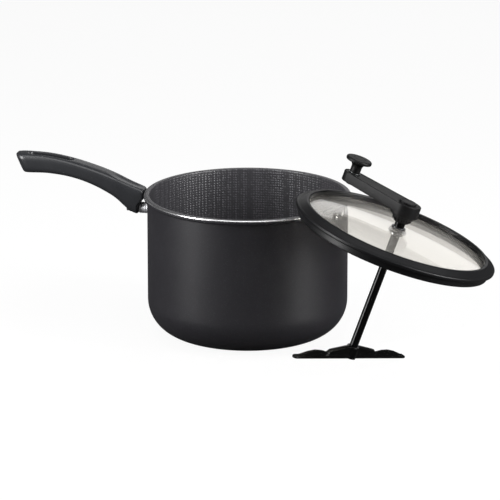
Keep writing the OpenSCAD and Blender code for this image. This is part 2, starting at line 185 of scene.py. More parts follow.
class CrankSettings(bpy.types.PropertyGroup):
    """Crank, shaft, knob and paddle"""
    arm: length("Crank", "Distance from shaft to knob", 0.071)
    boss_radius: length("Boss", "Radius of the arm's boss", 0.014)
    end_radius: length("End", "Radius of the arm's end", 0.010)
    shaft_radius: length("Shaft", "Radius of the drive shaft", 0.0042)
    knob_radius: length("Knob", "Radius of the knob's disc", 0.013)
    paddle: length("Paddle", "Length of the paddle", 0.172)
    plastic: colour("Crank", "Glass-filled nylon", hex_rgb("#09090a"))
    gloss: colour("Paddle", "Polished nylon", hex_rgb("#020202"))


class StageSettings(bpy.types.PropertyGroup):
    """Camera and light"""
    distance: length("Distance", "Camera distance", 4.0, 0.5, 20.0)
    elevation: FloatProperty(name="Elevation", description="Camera above the horizon",
                             default=math.radians(15.9), subtype="ANGLE")
    turn: FloatProperty(name="Turn", description="Camera's turn from the front, towards the vents",
                        default=math.radians(12.5), subtype="ANGLE")
    floor: colour("Floor", "Pale floor", hex_rgb("#f4f4f4"))


# ------------------------------------------------------------------ shapes
def fillet(corners, closed=False, steps=6):
    """Polyline with rounded corners, each given as (x, y, radius): an arc of that radius touches
    both sides, from the point where it leaves one to the point where it meets the other."""
    nearly_straight, most_of_side = 1e-3, 0.49
    corners = np.array(corners, float)
    pts, radii = corners[:, :2], corners[:, 2]
    n = len(pts)
    out = []
    for i in range(n):
        p = pts[i]
        if radii[i] <= 0 or (not closed and i in (0, n - 1)):
            out.append(p[None])
            continue
        a, b = pts[i - 1] - p, pts[(i + 1) % n] - p
        la, lb = np.linalg.norm(a), np.linalg.norm(b)
        a, b = a / la, b / lb
        half = math.acos(np.clip(a @ b, -1, 1)) / 2
        if half > math.pi / 2 - nearly_straight:
            out.append(p[None])
            continue
        t = min(radii[i] / math.tan(half), most_of_side * la, most_of_side * lb)
        r = t * math.tan(half)
        mid = (a + b) / np.linalg.norm(a + b)
        centre = p + mid * r / math.sin(half)
        u, v = (p + a * t - centre) / r, (p + b * t - centre) / r
        full = math.acos(np.clip(u @ v, -1, 1))
        w = np.linspace(0, 1, steps + 1)[:, None]
        arc = (np.sin((1 - w) * full) * u + np.sin(w * full) * v) / math.sin(full)
        out.append(centre + r * arc)
    return np.concatenate(out)


def band(r_in, r_out, low, high, rounding):
    """Corners of a ring's rectangular section, all rounded alike"""
    return [(r_in, low, rounding), (r_out, low, rounding),
            (r_out, high, rounding), (r_in, high, rounding)]


def densify(profile, step):
    """Profile with extra points on its long straight stretches, none longer than step."""
    out = [profile[:1]]
    for a, b in zip(profile[:-1], profile[1:]):
        k = max(1, math.ceil(np.linalg.norm(b - a) / step))
        out.append(a + (b - a) * (np.arange(1, k + 1) / k)[:, None])
    return np.concatenate(out)


def place(local, axes):
    """Points (..., 3) in a frame's own axes, in mm, to metres in the row frame."""
    return (axes[0] + local @ axes[1:]) * MM


def grid_faces(index, wrap_rows, wrap_cols, keep=None):
    """Quads of a grid of vertex numbers, joined end to end where a direction wraps."""
    g = index
    if wrap_rows:
        g = np.concatenate([g, g[:1]])
    if wrap_cols:
        g = np.concatenate([g, g[:, :1]], axis=1)
    quads = np.stack([g[:-1, :-1], g[:-1, 1:], g[1:, 1:], g[1:, :-1]], -1)
    if keep is not None:
        return quads[keep]
    return quads.reshape(-1, 4)


def make(name, points, faces, finishes, body, replaces=(), face_material=None, sharp=38):
    """Mesh piece from points (n, 3) in metres and faces: doubles merged, normals outwards, shaded
    smooth up to the sharp angle in degrees, then parented to its body's empty, with the imported
    parts that it replaces hidden."""
    mesh = bpy.data.meshes.new(name)
    mesh.from_pydata(points.tolist(), [], [[int(i) for i in f] for f in faces])
    for key in finishes:
        mesh.materials.append(material(key))
    if face_material is not None:
        mesh.polygons.foreach_set("material_index", np.array(face_material, np.int32))
    bm = bmesh.new()
    bm.from_mesh(mesh)
    bmesh.ops.remove_doubles(bm, verts=bm.verts, dist=MERGE)
    loose = [v for v in bm.verts if not v.link_faces]
    bmesh.ops.delete(bm, geom=loose, context="VERTS")
    bmesh.ops.recalc_face_normals(bm, faces=bm.faces)
    bm.to_mesh(mesh)
    bm.free()
    mesh.polygons.foreach_set("use_smooth", np.ones(len(mesh.polygons), bool))
    mesh.set_sharp_from_angle(angle=math.radians(sharp))
    piece = bpy.data.objects.new(name, mesh)
    bpy.context.scene.collection.objects.link(piece)
    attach(piece, body)
    if replaces:
        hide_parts(*replaces)


def lathe_grid(profile, axes, segments=128, flutes=None):
    """Profile (r, z) in mm turned about the frame's z axis: x = r cos t, y = r sin t. Flutes
    (count, depth, low, high) pull the radius in by depth * (1 - cos(count t)) / 2 between two
    heights."""
    t = np.arange(segments) * 2 * math.pi / segments
    r = np.repeat(profile[:, :1], segments, 1)
    z = np.repeat(profile[:, 1:], segments, 1)
    if flutes:
        count, depth, low, high = flutes
        inside = (profile[:, 1] > low) & (profile[:, 1] < high) & (profile[:, 0] > 1)
        r = r - inside[:, None] * depth * (1 - np.cos(count * t)) / 2
    return place(np.stack([r * np.cos(t), r * np.sin(t), z], -1), axes)


def lathe(name, profile, finish, body, slot, replaces=(), axes=SHAFT_FRAME, closed=False,
          segments=128, flutes=None, sharp=38):
    """Turned piece. An open profile starts and ends on the axis, a closed one is a ring."""
    grid = lathe_grid(profile, axes, segments, flutes)
    index = np.arange(grid.shape[0] * segments).reshape(grid.shape[0], segments)
    make(name, grid.reshape(-1, 3), grid_faces(index, closed, True), [finish], body, replaces,
         sharp=sharp)


def smooth_curve(x, knots, values):
    """Smooth curve through knots: a cubic between each two, with the slopes of the chords beside
    it."""
    knots, values = np.array(knots, float), np.array(values, float)
    slope = np.gradient(values, knots)
    i = np.clip(np.searchsorted(knots, x) - 1, 0, len(knots) - 2)
    h = knots[i + 1] - knots[i]
    t = (x - knots[i]) / h
    return ((2 * t**3 - 3 * t**2 + 1) * values[i] + (t**3 - 2 * t**2 + t) * h * slope[i]
            + (3 * t**2 - 2 * t**3) * values[i + 1] + (t**3 - t**2) * h * slope[i + 1])


def signed_power(x, power):
    """Power of a number's size, with its sign kept"""
    return np.sign(x) * np.abs(x) ** power


def ease(x, low, high):
    """0 below low, 1 above high, and a smooth step between."""
    t = np.clip((x - low) / (high - low), 0, 1)
    return t * t * (3 - 2 * t)


def loop_of(rows, cols):
    """Row and column numbers round a rectangular patch of a grid."""
    r = [rows[0]] * (len(cols) - 1) + rows[:-1] + [rows[-1]] * (len(cols) - 1) + rows[:0:-1]
    c = cols[:-1] + [cols[-1]] * (len(rows) - 1) + cols[:0:-1] + [cols[0]] * (len(rows) - 1)
    return np.array(r), np.array(c)


def pierce(grid, holes, wrap_cols=True):
    """Closed grid with holes through it. Each hole is (loop on one side, loop on the other, rings
    between): the patch inside each loop is left out, and a tube of quads runs from loop to loop
    through the rings. Also gives the number of faces outside the tubes, and which cells they
    are."""
    rows, cols = grid.shape[:2]
    index = np.arange(rows * cols).reshape(rows, cols)
    keep = np.ones((rows - 1, cols if wrap_cols else cols - 1), bool)
    points, faces = [grid.reshape(-1, 3)], []
    count = rows * cols
    for first, last, rings in holes:
        for r, c in (first, last):
            keep[r.min():r.max(), c.min():c.max()] = False
        n = len(first[0])
        extra = count + np.arange(len(rings) * n).reshape(len(rings), n)
        tube = np.concatenate([index[first][None], extra, index[last][None]])
        faces.append(grid_faces(tube, False, True))
        points.append(rings.reshape(-1, 3))
        count += len(rings) * n
    body = grid_faces(index, False, wrap_cols, keep)
    return np.concatenate(points), np.concatenate([body] + faces), len(body), keep


# ------------------------------------------------------------------ materials
def add(tree, kind, inputs=None, **settings):
    """One shader node with its settings, its constants and its links."""
    node = tree.nodes.new(kind)
    for key, value in settings.items():
        setattr(node, key, value)
    for key, value in (inputs or {}).items():
        if isinstance(value, bpy.types.NodeSocket):
            tree.links.new(value, node.inputs[key])
        else:
            node.inputs[key].default_value = value
    return node


def blank(owner):
    """Empty node tree of a material or a world"""
    owner.use_nodes = True
    owner.node_tree.nodes.clear()
    return owner.node_tree


def direct_rays(tree):
    """1 for rays from the camera or through glass, 0 for the others"""
    path = add(tree, "ShaderNodeLightPath")
    return add(tree, "ShaderNodeMath", {0: path.outputs["Is Camera Ray"],
                                        1: path.outputs["Is Transmission Ray"]},
               operation="MAXIMUM").outputs["Value"]


def surface(name, rgb, roughness, bump=0.0, bump_mm=0.5, bump_depth_mm=0.02, mottle=0.1,
            mottle_mm=12.0, rough_vary=0.05, speck=0.0, speck_mm=1.0, **constants):
    """Principled surface: colour mottled by a broad noise, specks from a fine one, a grain bump of
    a given size in mm, and roughness that drifts a little."""
    speck_low, speck_high, speck_gain, speck_lift, least_rough = 0.56, 0.74, 2.6, 0.02, 0.02
    mat = bpy.data.materials.new(name)
    tree = blank(mat)
    coords = add(tree, "ShaderNodeTexCoord").outputs["Object"]
    broad = add(tree, "ShaderNodeTexNoise", {"Vector": coords, "Scale": 1000 / mottle_mm,
                                             "Detail": 3.0}).outputs["Fac"]
    c = np.array(linear(rgb)[:3])
    dark, light = (*(c * (1 - mottle)), 1.0), (*np.clip(c * (1 + mottle), 0, 1), 1.0)
    base = add(tree, "ShaderNodeMix", {"Factor": broad, "A": dark, "B": light},
               data_type="RGBA").outputs["Result"]
    if speck:
        fine = add(tree, "ShaderNodeTexNoise", {"Vector": coords, "Scale": 1000 / speck_mm,
                                                "Detail": 1.0})
        spots = add(tree, "ShaderNodeMapRange", {"Value": fine.outputs["Fac"], "To Min": 0.0,
                                                 "To Max": speck, "From Min": speck_low,
                                                 "From Max": speck_high})
        lit = (*np.clip(c * speck_gain + speck_lift, 0, 1), 1.0)
        base = add(tree, "ShaderNodeMix", {"Factor": spots.outputs["Result"], "A": base, "B": lit},
                   data_type="RGBA").outputs["Result"]
    drift = add(tree, "ShaderNodeMapRange", {"Value": broad,
                                             "To Min": max(roughness - rough_vary, least_rough),
                                             "To Max": roughness + rough_vary})
    shader = add(tree, "ShaderNodeBsdfPrincipled", {"Base Color": base,
                                                    "Roughness": drift.outputs["Result"],
                                                    **constants})
    if bump:
        grain = add(tree, "ShaderNodeTexNoise", {"Vector": coords, "Scale": 1000 / bump_mm,
                                                 "Detail": 2.0})
        relief = add(tree, "ShaderNodeBump", {"Height": grain.outputs["Fac"], "Strength": bump,
                                              "Distance": bump_depth_mm * MM})
        tree.links.new(relief.outputs["Normal"], shader.inputs["Normal"])
    add(tree, "ShaderNodeOutputMaterial", {"Surface": shader.outputs["BSDF"]})
    return mat


def coated_aluminium(rgb):
    """Baked silicone coating outside the pan: satin, near black, with a fine metal fleck that
    catches light."""
    return surface("Baked coating on aluminium", rgb, 0.42, bump=0.35, bump_mm=0.9,
                   bump_depth_mm=0.03, mottle=0.06, mottle_mm=30, speck=0.35, speck_mm=0.9,
                   **{"Specular IOR Level": 0.55})


def nonstick(rgb):
    """Sprayed fluoropolymer over an embossed honeycomb, so the sides glitter in small dots; the
    hollows between the domes are painted darker, as painted shade.
    """
    cell_mm, relief_mm, painted_shade_share = 2.6, 0.35, 0.45
    mat = surface("Embossed non-stick coating", rgb, 0.36, mottle=0.08, mottle_mm=25, speck=0.25,
                  speck_mm=1.1, **{"Specular IOR Level": 0.6})
    tree = mat.node_tree
    shader = next(n for n in tree.nodes if n.type == "BSDF_PRINCIPLED")
    coords = next(n for n in tree.nodes if n.type == "TEX_COORD").outputs["Object"]
    cells = add(tree, "ShaderNodeTexVoronoi", {"Vector": coords, "Scale": 1000 / cell_mm,
                                               "Randomness": 0.25}, feature="F1")
    domes = add(tree, "ShaderNodeMapRange", {"Value": cells.outputs["Distance"], "From Min": 0.12,
                                             "From Max": 0.5, "To Min": 1.0, "To Max": 0.0})
    old = shader.inputs["Base Color"].links[0].from_socket
    # painted shade: the hollows between the domes get a darker colour than the dome tips
    hollow = (*(np.array(linear(rgb)[:3]) * painted_shade_share), 1.0)
    painted_shade_mix = add(tree, "ShaderNodeMix", {"Factor": domes.outputs["Result"], "A": hollow, "B": old},
               data_type="RGBA")
    tree.links.new(painted_shade_mix.outputs["Result"], shader.inputs["Base Color"])
    relief = add(tree, "ShaderNodeBump", {"Height": domes.outputs["Result"], "Strength": 0.9,
                                          "Distance": relief_mm * MM})
    tree.links.new(relief.outputs["Normal"], shader.inputs["Normal"])
    return mat


def bare_aluminium(rgb, name="Turned aluminium", roughness=0.28):
    """Aluminium turned on a lathe: bright, with fine rings that stretch its highlights."""
    return surface(name, rgb, roughness, bump=0.12, bump_mm=0.6, bump_depth_mm=0.01, mottle=0.05,
                   mottle_mm=4, rough_vary=0.06, **{"Metallic": 1.0})


def phenolic(rgb):
    """Compression-moulded phenolic: hard black plastic, satin from a fine spark-eroded mould."""
    return surface("Moulded phenolic", rgb, 0.36, bump=0.3, bump_mm=0.7, bump_depth_mm=0.02,
                   mottle=0.08, mottle_mm=18, speck=0.1, speck_mm=0.8,
                   **{"Specular IOR Level": 0.55, "Coat Weight": 0.15, "Coat Roughness": 0.25})


def silicone(rgb):
    """Moulded silicone rubber: soft black with a broad, dull sheen and a trace of dust."""
    return surface("Moulded silicone", rgb, 0.40, bump=0.2, bump_mm=1.2, bump_depth_mm=0.015,
                   mottle=0.12, mottle_mm=14, **{"Specular IOR Level": 0.3})


def filled_nylon(rgb):
    """Glass-filled nylon: matt black with a fine pebble grain left by the mould."""
    return surface("Glass-filled nylon", rgb, 0.46, bump=0.6, bump_mm=0.9, bump_depth_mm=0.04,
                   mottle=0.1, mottle_mm=10, speck=0.2, speck_mm=0.8,
                   **{"Specular IOR Level": 0.22})


def gloss_nylon(rgb, name="Polished nylon"):
    """Nylon from a polished mould: deep black with sharp highlights."""
    return surface(name, rgb, 0.16, bump=0.1, bump_mm=3, bump_depth_mm=0.02, mottle=0.1,
                   mottle_mm=20, **{"Specular IOR Level": 0.3})


def plated_steel():
    """Zinc-plated steel: grey metal with a fine brushed haze."""
    return surface("Zinc-plated steel", hex_rgb("#b9bbbd"), 0.3, bump=0.2, bump_mm=0.5,
                   bump_depth_mm=0.01, mottle=0.08, mottle_mm=3, **{"Metallic": 1.0})


def tempered_glass(rgb):
    """Tempered soda-lime glass: clear, a faint warm grey. Its IOR is set for the look and is below
    real glass's 1.5."""
    return surface("Tempered glass", rgb, 0.02, mottle=0.01, mottle_mm=60, rough_vary=0.01,
                   **{"Transmission Weight": 0.91, "IOR": 1.22})


MADE = {}
FERRULE_RGB = (0.96, 0.96, 0.97)
SPRING_RGB = hex_rgb("#5c5d60")


def material(key):
    """Each finish is made once and shared."""
    if key not in MADE:
        s = bpy.context.scene
        MADE[key] = {
            "outside": lambda: coated_aluminium(s.pan_look.outside),
            "inside": lambda: nonstick(s.pan_look.inside),
            "rim": lambda: bare_aluminium(s.pan_look.metal),
            "ferrule": lambda: bare_aluminium(FERRULE_RGB, "Brushed aluminium", 0.48),
            "grip": lambda: phenolic(s.handle_look.body),
            "glass": lambda: tempered_glass(s.lid_look.tint),
            "silicone": lambda: silicone(s.lid_look.silicone),
            "nylon": lambda: filled_nylon(s.crank_look.plastic),
            "gloss": lambda: gloss_nylon(s.crank_look.gloss),
            "shaft": lambda: gloss_nylon(s.crank_look.gloss, "Black enamelled steel"),
            "steel": plated_steel,
            "dark_steel": lambda: bare_aluminium(SPRING_RGB, "Blackened spring steel"),
        }[key]()
    return MADE[key]


# ------------------------------------------------------------------ operators
class PieceOperator:
    """Shared settings of the operators"""
    bl_options = {"REGISTER", "UNDO"}


class SAUCEPAN_OT_pan(PieceOperator, bpy.types.Operator):
    """Pan: one closed shell with a rolled rim and a row of steam vents"""
    bl_idname = "saucepan.pan"
    bl_label = "Pan"

    PATCH = 4.6  # half the height of the wall's square patch round a vent, mm
    PATCH_ROWS = 8  # grid steps up a patch
    PATCH_COLS = 6  # and across it
    FINE = 20  # degrees to each side of +X with a column for each degree
    VENT_STEP = 8.0  # degrees from vent to vent
    BARE_EDGE = 1.15  # width of the bead's bare metal, mm
    LONGEST = 6.0  # longest stretch of the profile without a point, mm
    MIXES = (0.35, 0.7)  # rings between patch and hole: share of the way
    EDGE = ((0.45, 0.0), (0.13, 0.13), (0.0, 0.45))  # then mm outside the hole, mm into the wall
    COATED_RINGS = 3  # of a vent, on each side; the ones between are bare

    def execute(self, context):
        s = context.scene.pan_look
        r, t, h, base, corner, bead_r, bead_high, drop, vent = in_mm(
            s, "wall_radius wall height base corner bead_radius bead_height vent_drop vent")
        patch, steps = self.PATCH, self.PATCH_ROWS
        bead_low, vent_z = h - bead_high, h - drop
        outer = fillet([(0, 0, 0), (r, 0, corner), (r, vent_z - patch, 0)], steps=20)
        rim = fillet([(r, vent_z + patch, 0), (r, bead_low, 1.2), (bead_r, bead_low + 0.6, 1.4),
                      (bead_r, h, 1.8), (r - t, h, 1.0), (r - t, vent_z + patch, 0)])
        inner = fillet([(r - t, vent_z - patch, 0), (r - t, base, corner - base), (0, base, 0)],
                       steps=20)
        rows_z = vent_z + patch * np.linspace(-1, 1, steps + 1)[1:-1]
        up = np.stack([np.full(len(rows_z), r), rows_z], -1)
        down = np.stack([np.full(len(rows_z), r - t), rows_z[::-1]], -1)
        outer, inner = densify(outer, self.LONGEST), densify(inner, self.LONGEST)
        profile = np.concatenate([outer, up, rim, down, inner])
        a0 = len(outer) - 1
        b0 = len(outer) + len(up) + len(rim) - 1
        rows_a, rows_b = list(range(a0, a0 + steps + 1)), list(range(b0 + steps, b0 - 1, -1))
        angle = np.radians(np.concatenate([np.arange(-self.FINE, self.FINE, 1.0),
                                           np.arange(self.FINE, 360 - self.FINE, 2.0)]))
        rr, zz = profile[:, :1], np.repeat(profile[:, 1:], len(angle), 1)
        grid = np.stack([rr * np.cos(angle), rr * np.sin(angle), zz], -1) * MM
        holes = []
        for k in range(s.vents):
            middle = (k - (s.vents - 1) / 2) * self.VENT_STEP
            c0 = int(round(middle - self.PATCH_COLS / 2 + self.FINE))
            cols = list(range(c0, c0 + self.PATCH_COLS + 1))
            first, last = loop_of(rows_a, cols), loop_of(rows_b, cols)
            rings = self.vent_rings(profile, angle, first, math.radians(middle), vent_z, vent / 2,
                                    r, r - t)
            holes.append((first, last, rings))
        points, faces, n_body, keep = pierce(grid, holes)
        # materials: 0 outside, 1 inside, 2 bare rim
        mid = (profile[:-1] + profile[1:]) / 2
        tag = np.where(np.arange(len(mid)) < a0 + steps + len(rim) // 2, 0, 1)
        edge = (mid[:, 0] > bead_r - self.BARE_EDGE) & (mid[:, 1] > h - self.BARE_EDGE)
        tag = np.where(edge, 2, tag)
        tags = np.repeat(tag[:, None], len(angle), 1)[keep]
        tubes = np.full((s.vents, (len(faces) - n_body) // s.vents), 2)
        tubes = tubes.reshape(s.vents, -1, len(first[0]))
        tubes[:, :self.COATED_RINGS] = 0
        tubes[:, -self.COATED_RINGS:] = 1
        make("pan_shell", points, faces, ["outside", "inside", "rim"], "pan",
             ("pan_body",), face_material=np.concatenate([tags, tubes.ravel()]), sharp=50)
        return {"FINISHED"}

    def vent_rings(self, profile, angle, loop, middle, height, radius, r_out, r_in):
        """Rings from a square patch of the wall to a round hole: the patch's edge and the circle
        are mixed, step by step, then the circle goes through the wall with rounded edges."""
        z = profile[loop[0], 1] - height
        w = (angle[loop[1]] - middle) * r_out
        turn = np.arctan2(z, w)
        mouth = radius + self.EDGE[0][0]
        steps = [(w * (1 - mix) + mouth * np.cos(turn) * mix,
                  z * (1 - mix) + mouth * np.sin(turn) * mix, 0.0) for mix in self.MIXES]
        steps += [((radius + grow) * np.cos(turn), (radius + grow) * np.sin(turn), depth)
                  for grow, depth in self.EDGE]
        out = []
        for rad, sign in ((r_out, -1), (r_in, 1)):
            side = []
            for x, y, depth in steps:
                a, rr = middle + x / r_out, rad + sign * depth
                side.append(np.stack([rr * np.cos(a), rr * np.sin(a), height + y], -1))
            out.append(side if sign < 0 else side[::-1])
        return np.array(out[0] + out[1]) * MM


class SAUCEPAN_OT_handle(PieceOperator, bpy.types.Operator):
    """Handle grip: a moulded bar whose section, height and width change along its length, with a
    hanging slot"""
    bl_idname = "saucepan.handle"
    bl_label = "Handle grip"

    # distance from the root; top and bottom above the stud's axis; share of the full width
    KNOTS = [-3, 0, 7, 14, 21, 37, 56, 74, 94, 118, 134]
    TOP = [18.9, 20.4, 24.4, 28.4, 31.4, 37.3, 43.0, 47.4, 50.6, 51.6, 51.4]
    LOW = [-5.2, -5.6, -3.6, 1.6, 8.2, 18.0, 25.8, 30.2, 32.2, 32.0, 31.4]
    WIDE = [0.84, 0.86, 0.89, 0.93, 0.97, 1.0, 1.0, 1.0, 1.0, 1.0, 0.99]
    POWER = 4.2  # of the superellipse
    FLAT = 0.68  # share of the width that counts as top or bottom
    FLAT_COLS = 13  # columns across top and bottom
    SIDE_COLS = 14  # columns down each side
    TAPER = 9.5  # length over which the plan's end is rounded, mm
    TAPER_SHARE = 0.8
    EDGE = 2.4  # radius of the edge round each end face, mm
    CAP = 0.45  # size of the ring in the middle of an end face
    SLANT = math.radians(24)  # of the outer end face
    SLANT_LONG = 48  # the slant fades out this far from the end, mm
    SCOOP = 1.9  # depth of the scoop, mm
    NOSE = 6.0  # reach of the root over the ferrule, mm
    SLOT_END = 14  # from the slot to the grip's end, mm
    SLOT_PATCH = (5, 4)  # grid left out before and after the slot, mm
    # the slot's rings: share of the way to its outline, mm outside it, mm below the face
    RINGS = ((0.5, 1.4, 0), (1, 1.0, 0), (1, 0.3, 0.3), (1, 0.0, 1.0), (1, 0.0, 3.0))

    def section(self, s, u, v, s_high, width):
        """Point on the grip: a superellipse |y/w|^n + |z/h|^n = 1 at each distance s, leaned at
        both ends so that the root reaches over the ferrule and the end face slants, with a shallow
        scoop near the root."""
        top, low = smooth_curve(s, self.KNOTS, self.TOP), smooth_curve(s, self.KNOTS, self.LOW)
        half = width / 2 * smooth_curve(s, self.KNOTS, self.WIDE)
        taper = self.TAPER
        over = np.clip(s - (s_high - taper), 0, taper - 0.01)
        half = half - (taper - np.sqrt(taper**2 - over**2)) * self.TAPER_SHARE
        tall = (top - low) / 2
        y, z = half * u, (top + low) / 2 + tall * v
        scoop = ease(s, -2, 8) * (1 - ease(s, 18, 34)) * ease(v, 0.3, 0.95)
        z = z - self.SCOOP * scoop * np.clip(1 - (u / 0.8) ** 2, 0, 1)
        slant = (top - z) * math.tan(self.SLANT) * ease(s, s_high - self.SLANT_LONG, s_high)
        nose = self.NOSE * ease(z, 4.0, 12.0) * (1 - ease(s, 0, 16))
        return s - slant - nose, y, z

    def execute(self, context):
        root, long_, wide, slot_l, slot_w = in_mm(context.scene.handle_look,
                                                  "reach grip width slot_length slot_width")
        slot_l, slot_w = slot_l / 2, slot_w / 2
        n, n_flat, n_side, edge = self.POWER, self.FLAT_COLS, self.SIDE_COLS, self.EDGE
        flat = np.linspace(self.FLAT, -self.FLAT, n_flat)
        t1 = math.acos(self.FLAT ** (n / 2))
        t = np.concatenate([np.arccos(signed_power(flat, n / 2)),
                            np.linspace(math.pi - t1, math.pi + t1, n_side + 2)[1:-1],
                            2 * math.pi - np.arccos(signed_power(flat[::-1], n / 2)),
                            np.linspace(-t1, t1, n_side + 2)[1:-1] + 2 * math.pi])
        u0, v0 = signed_power(np.cos(t), 2 / n), signed_power(np.sin(t), 2 / n)
        # rounded ends: the section shrinks by an arc
        q = np.radians(np.linspace(0, 90, 8))
        s_mid = np.concatenate([np.arange(1.0, 60, 2.0), np.arange(61, 127, 3.0)])
        s_mid = s_mid[(s_mid > edge) & (s_mid < long_ - edge)]
        along, inward = edge * (1 - np.cos(q)), edge * (1 - np.sin(q))
        s = np.concatenate([along, s_mid, long_ - along[::-1]])
        inset = np.concatenate([inward, np.zeros(len(s_mid)), inward[::-1]])
        tall = (smooth_curve(s, self.KNOTS, self.TOP) - smooth_curve(s, self.KNOTS, self.LOW)) / 2
        shrink_y, shrink_z = (
            np.concatenate([[0, self.CAP], 1 - inset / size, [self.CAP, 0]])[:, None]
            for size in (wide / 2, tall))
        s = np.concatenate([[0, 0], s, [long_, long_]])
        x, y, z = self.section(s[:, None], u0[None] * shrink_y, v0[None] * shrink_z, long_, wide)
        grid = np.stack([-(root + x), y, STUD_Z + z], -1) * MM
        # hanging slot between the flat columns of top and bottom
        centre = long_ - self.SLOT_END - slot_l
        before, after = self.SLOT_PATCH
        rows = list(range(int(np.searchsorted(s, centre - slot_l - before)),
                          int(np.searchsorted(s, centre + slot_l + after))))
        low_first = n_flat + n_side
        first = loop_of(rows, list(range(n_flat)))
        last = loop_of(rows, list(range(low_first + n_flat - 1, low_first - 1, -1)))
        rings = self.slot_rings(s, u0, first, centre, slot_l, slot_w, long_, wide, root)
        points, faces, _, _ = pierce(grid, [(first, last, rings)])
        make("grip", points, faces, ["grip"], "pan", ("handle_grip",), sharp=50)
        return {"FINISHED"}

    def slot_rings(self, s, u0, loop, centre, slot_l, slot_w, long_, wide, root):
        """Rings from the patch's edge to a round-ended slot, then down through the grip and out to
        the other patch. A ray from the slot's centre through each edge point meets the slot's
        outline there."""
        half = wide / 2
        sx, sy = s[loop[0]] - centre, u0[loop[1]] * half

        def outline(grow):
            a, b = slot_l + grow, slot_w + grow
            k = b / np.maximum(np.abs(sy), 1e-6)
            m = a - b
            d = np.hypot(sx, sy)
            dx = np.abs(sx) / d
            reach = dx * m + np.sqrt(np.maximum((dx * m) ** 2 - m * m + b * b, 0))
            scale = np.where(np.abs(sx) * k <= m, k, reach / d)
            return sx * scale, sy * scale
        out = []
        for v in (1.0, -1.0):
            side = []
            for mix, grow, depth in self.RINGS:
                ox, oy = outline(grow)
                px, py = sx * (1 - mix) + ox * mix, sy * (1 - mix) + oy * mix
                u = py / half
                vv = v * (1 - np.abs(np.clip(u, -1, 1)) ** self.POWER) ** (1 / self.POWER)
                x, y, z = self.section(centre + px, u, vv, long_, wide)
                side.append(np.stack([-(root + x), y, STUD_Z + z - v * depth], -1))
            out.append(side if v > 0 else side[::-1])
        return np.array(out[0] + out[1]) * MM


class SAUCEPAN_OT_ferrule(PieceOperator, bpy.types.Operator):
    """Bright ferrule between wall and grip, with turned grooves"""
    bl_idname = "saucepan.ferrule"
    bl_label = "Ferrule"

    GROOVES, FIRST, PITCH, DEEP, HALF = 3, 2.4, 2.6, 0.5, 0.35  # count, then mm
    WALL_GAP = 0.35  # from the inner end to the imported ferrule's, mm
    BORE = 3.3

    def execute(self, context):
        lo, hi = (np.array(c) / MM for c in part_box("ferrule"))
        near, end, r = -hi[0] + self.WALL_GAP, -lo[0], (hi[2] - lo[2]) / 2
        corners = [(self.BORE, near, 0), (r - 0.6, near, 0.3), (r, near + 1.0, 0.4)]
        for k in range(self.GROOVES):
            z = near + self.FIRST + self.PITCH * k
            corners += [(r, z, 0.2), (r - self.DEEP, z + self.HALF, 0.3),
                        (r, z + 2 * self.HALF, 0.2)]
        corners += [(r, end - 0.5, 0.3), (r - 0.5, end, 0.3), (self.BORE, end, 0)]
        lathe("ferrule_ring", fillet(corners, closed=True, steps=3), "ferrule", "pan",
              "bare_aluminium", ("ferrule",), axes=STUD_FRAME, closed=True, segments=64, sharp=60)
        return {"FINISHED"}


class SAUCEPAN_OT_lid_glass(PieceOperator, bpy.types.Operator):
    """Domed glass with a polished edge and a hole for the bush"""
    bl_idname = "saucepan.lid_glass"
    bl_label = "Lid glass"

    ROUND = 0.9  # bulge of the polished edge, mm
    HOLE_EDGE = 0.5  # bevel round the hole, mm

    def execute(self, context):
        big, edge, t = in_mm(context.scene.lid_look, "dome glass_radius glass")
        centre, flat_end = GLASS_TOP - big, edge - self.ROUND
        r = np.linspace(GLASS_BORE + self.HOLE_EDGE, flat_end, 40)
        top = np.stack([r, centre + np.sqrt(big**2 - r**2)], -1)
        low = np.stack([r, centre + np.sqrt((big - t) ** 2 - r**2)], -1)
        zt, zl = top[-1, 1], low[-1, 1]
        a = np.radians(np.linspace(60, -60, 9))[:, None]
        rim = np.hstack([flat_end + self.ROUND * np.cos(a),
                         (zt + zl) / 2 + (zt - zl) / 2 * np.sin(a)])
        hole = np.array([[GLASS_BORE, low[0, 1] + self.HOLE_EDGE],
                         [GLASS_BORE, top[0, 1] - self.HOLE_EDGE]])
        lathe("glass_dome", np.concatenate([top, rim, low[::-1], hole]), "glass", "lid",
              "lid_glass", ("lid_glass",), closed=True, segments=192, sharp=50)
        return {"FINISHED"}


class SAUCEPAN_OT_silicone_rim(PieceOperator, bpy.types.Operator):
    """Silicone rim: crest, lip, skirt, and the groove that holds the glass"""
    bl_idname = "saucepan.silicone_rim"
    bl_label = "Silicone rim"

    def execute(self, context):
        lip, skirt, glass = in_mm(context.scene.lid_look, "lip_radius skirt_radius glass_radius")
        inner, groove, skirt_low = glass - 5, glass + 0.1, SEAT - 7
        corners = [(inner, LIP + 1.75, 0.2), (groove, LIP + 0.9, 0.1),  # groove for the glass
                   (groove, LIP - 3.35, 0.1), (inner + 0.4, LIP - 2.55, 0.4),
                   (inner + 1.5, skirt_low, 1.2), (skirt, skirt_low, 1.2),  # skirt
                   (skirt, SEAT, 0.9), (skirt + 2.0, SEAT, 0.3),  # seat on the pan's rim
                   (lip, SEAT + 0.15, 1.3), (lip, LIP + 1.5, 1.2), (lip - 2.0, LIP + 2.3, 1.6),
                   (inner + 2.9, CREST, 1.6), (inner, CREST, 1.2)]  # crest
        lathe("silicone_ring", densify(fillet(corners, closed=True, steps=7), 3.0), "silicone",
              "lid", "black_silicone", ("silicone_rim",), closed=True, segments=256, sharp=60)
        return {"FINISHED"}


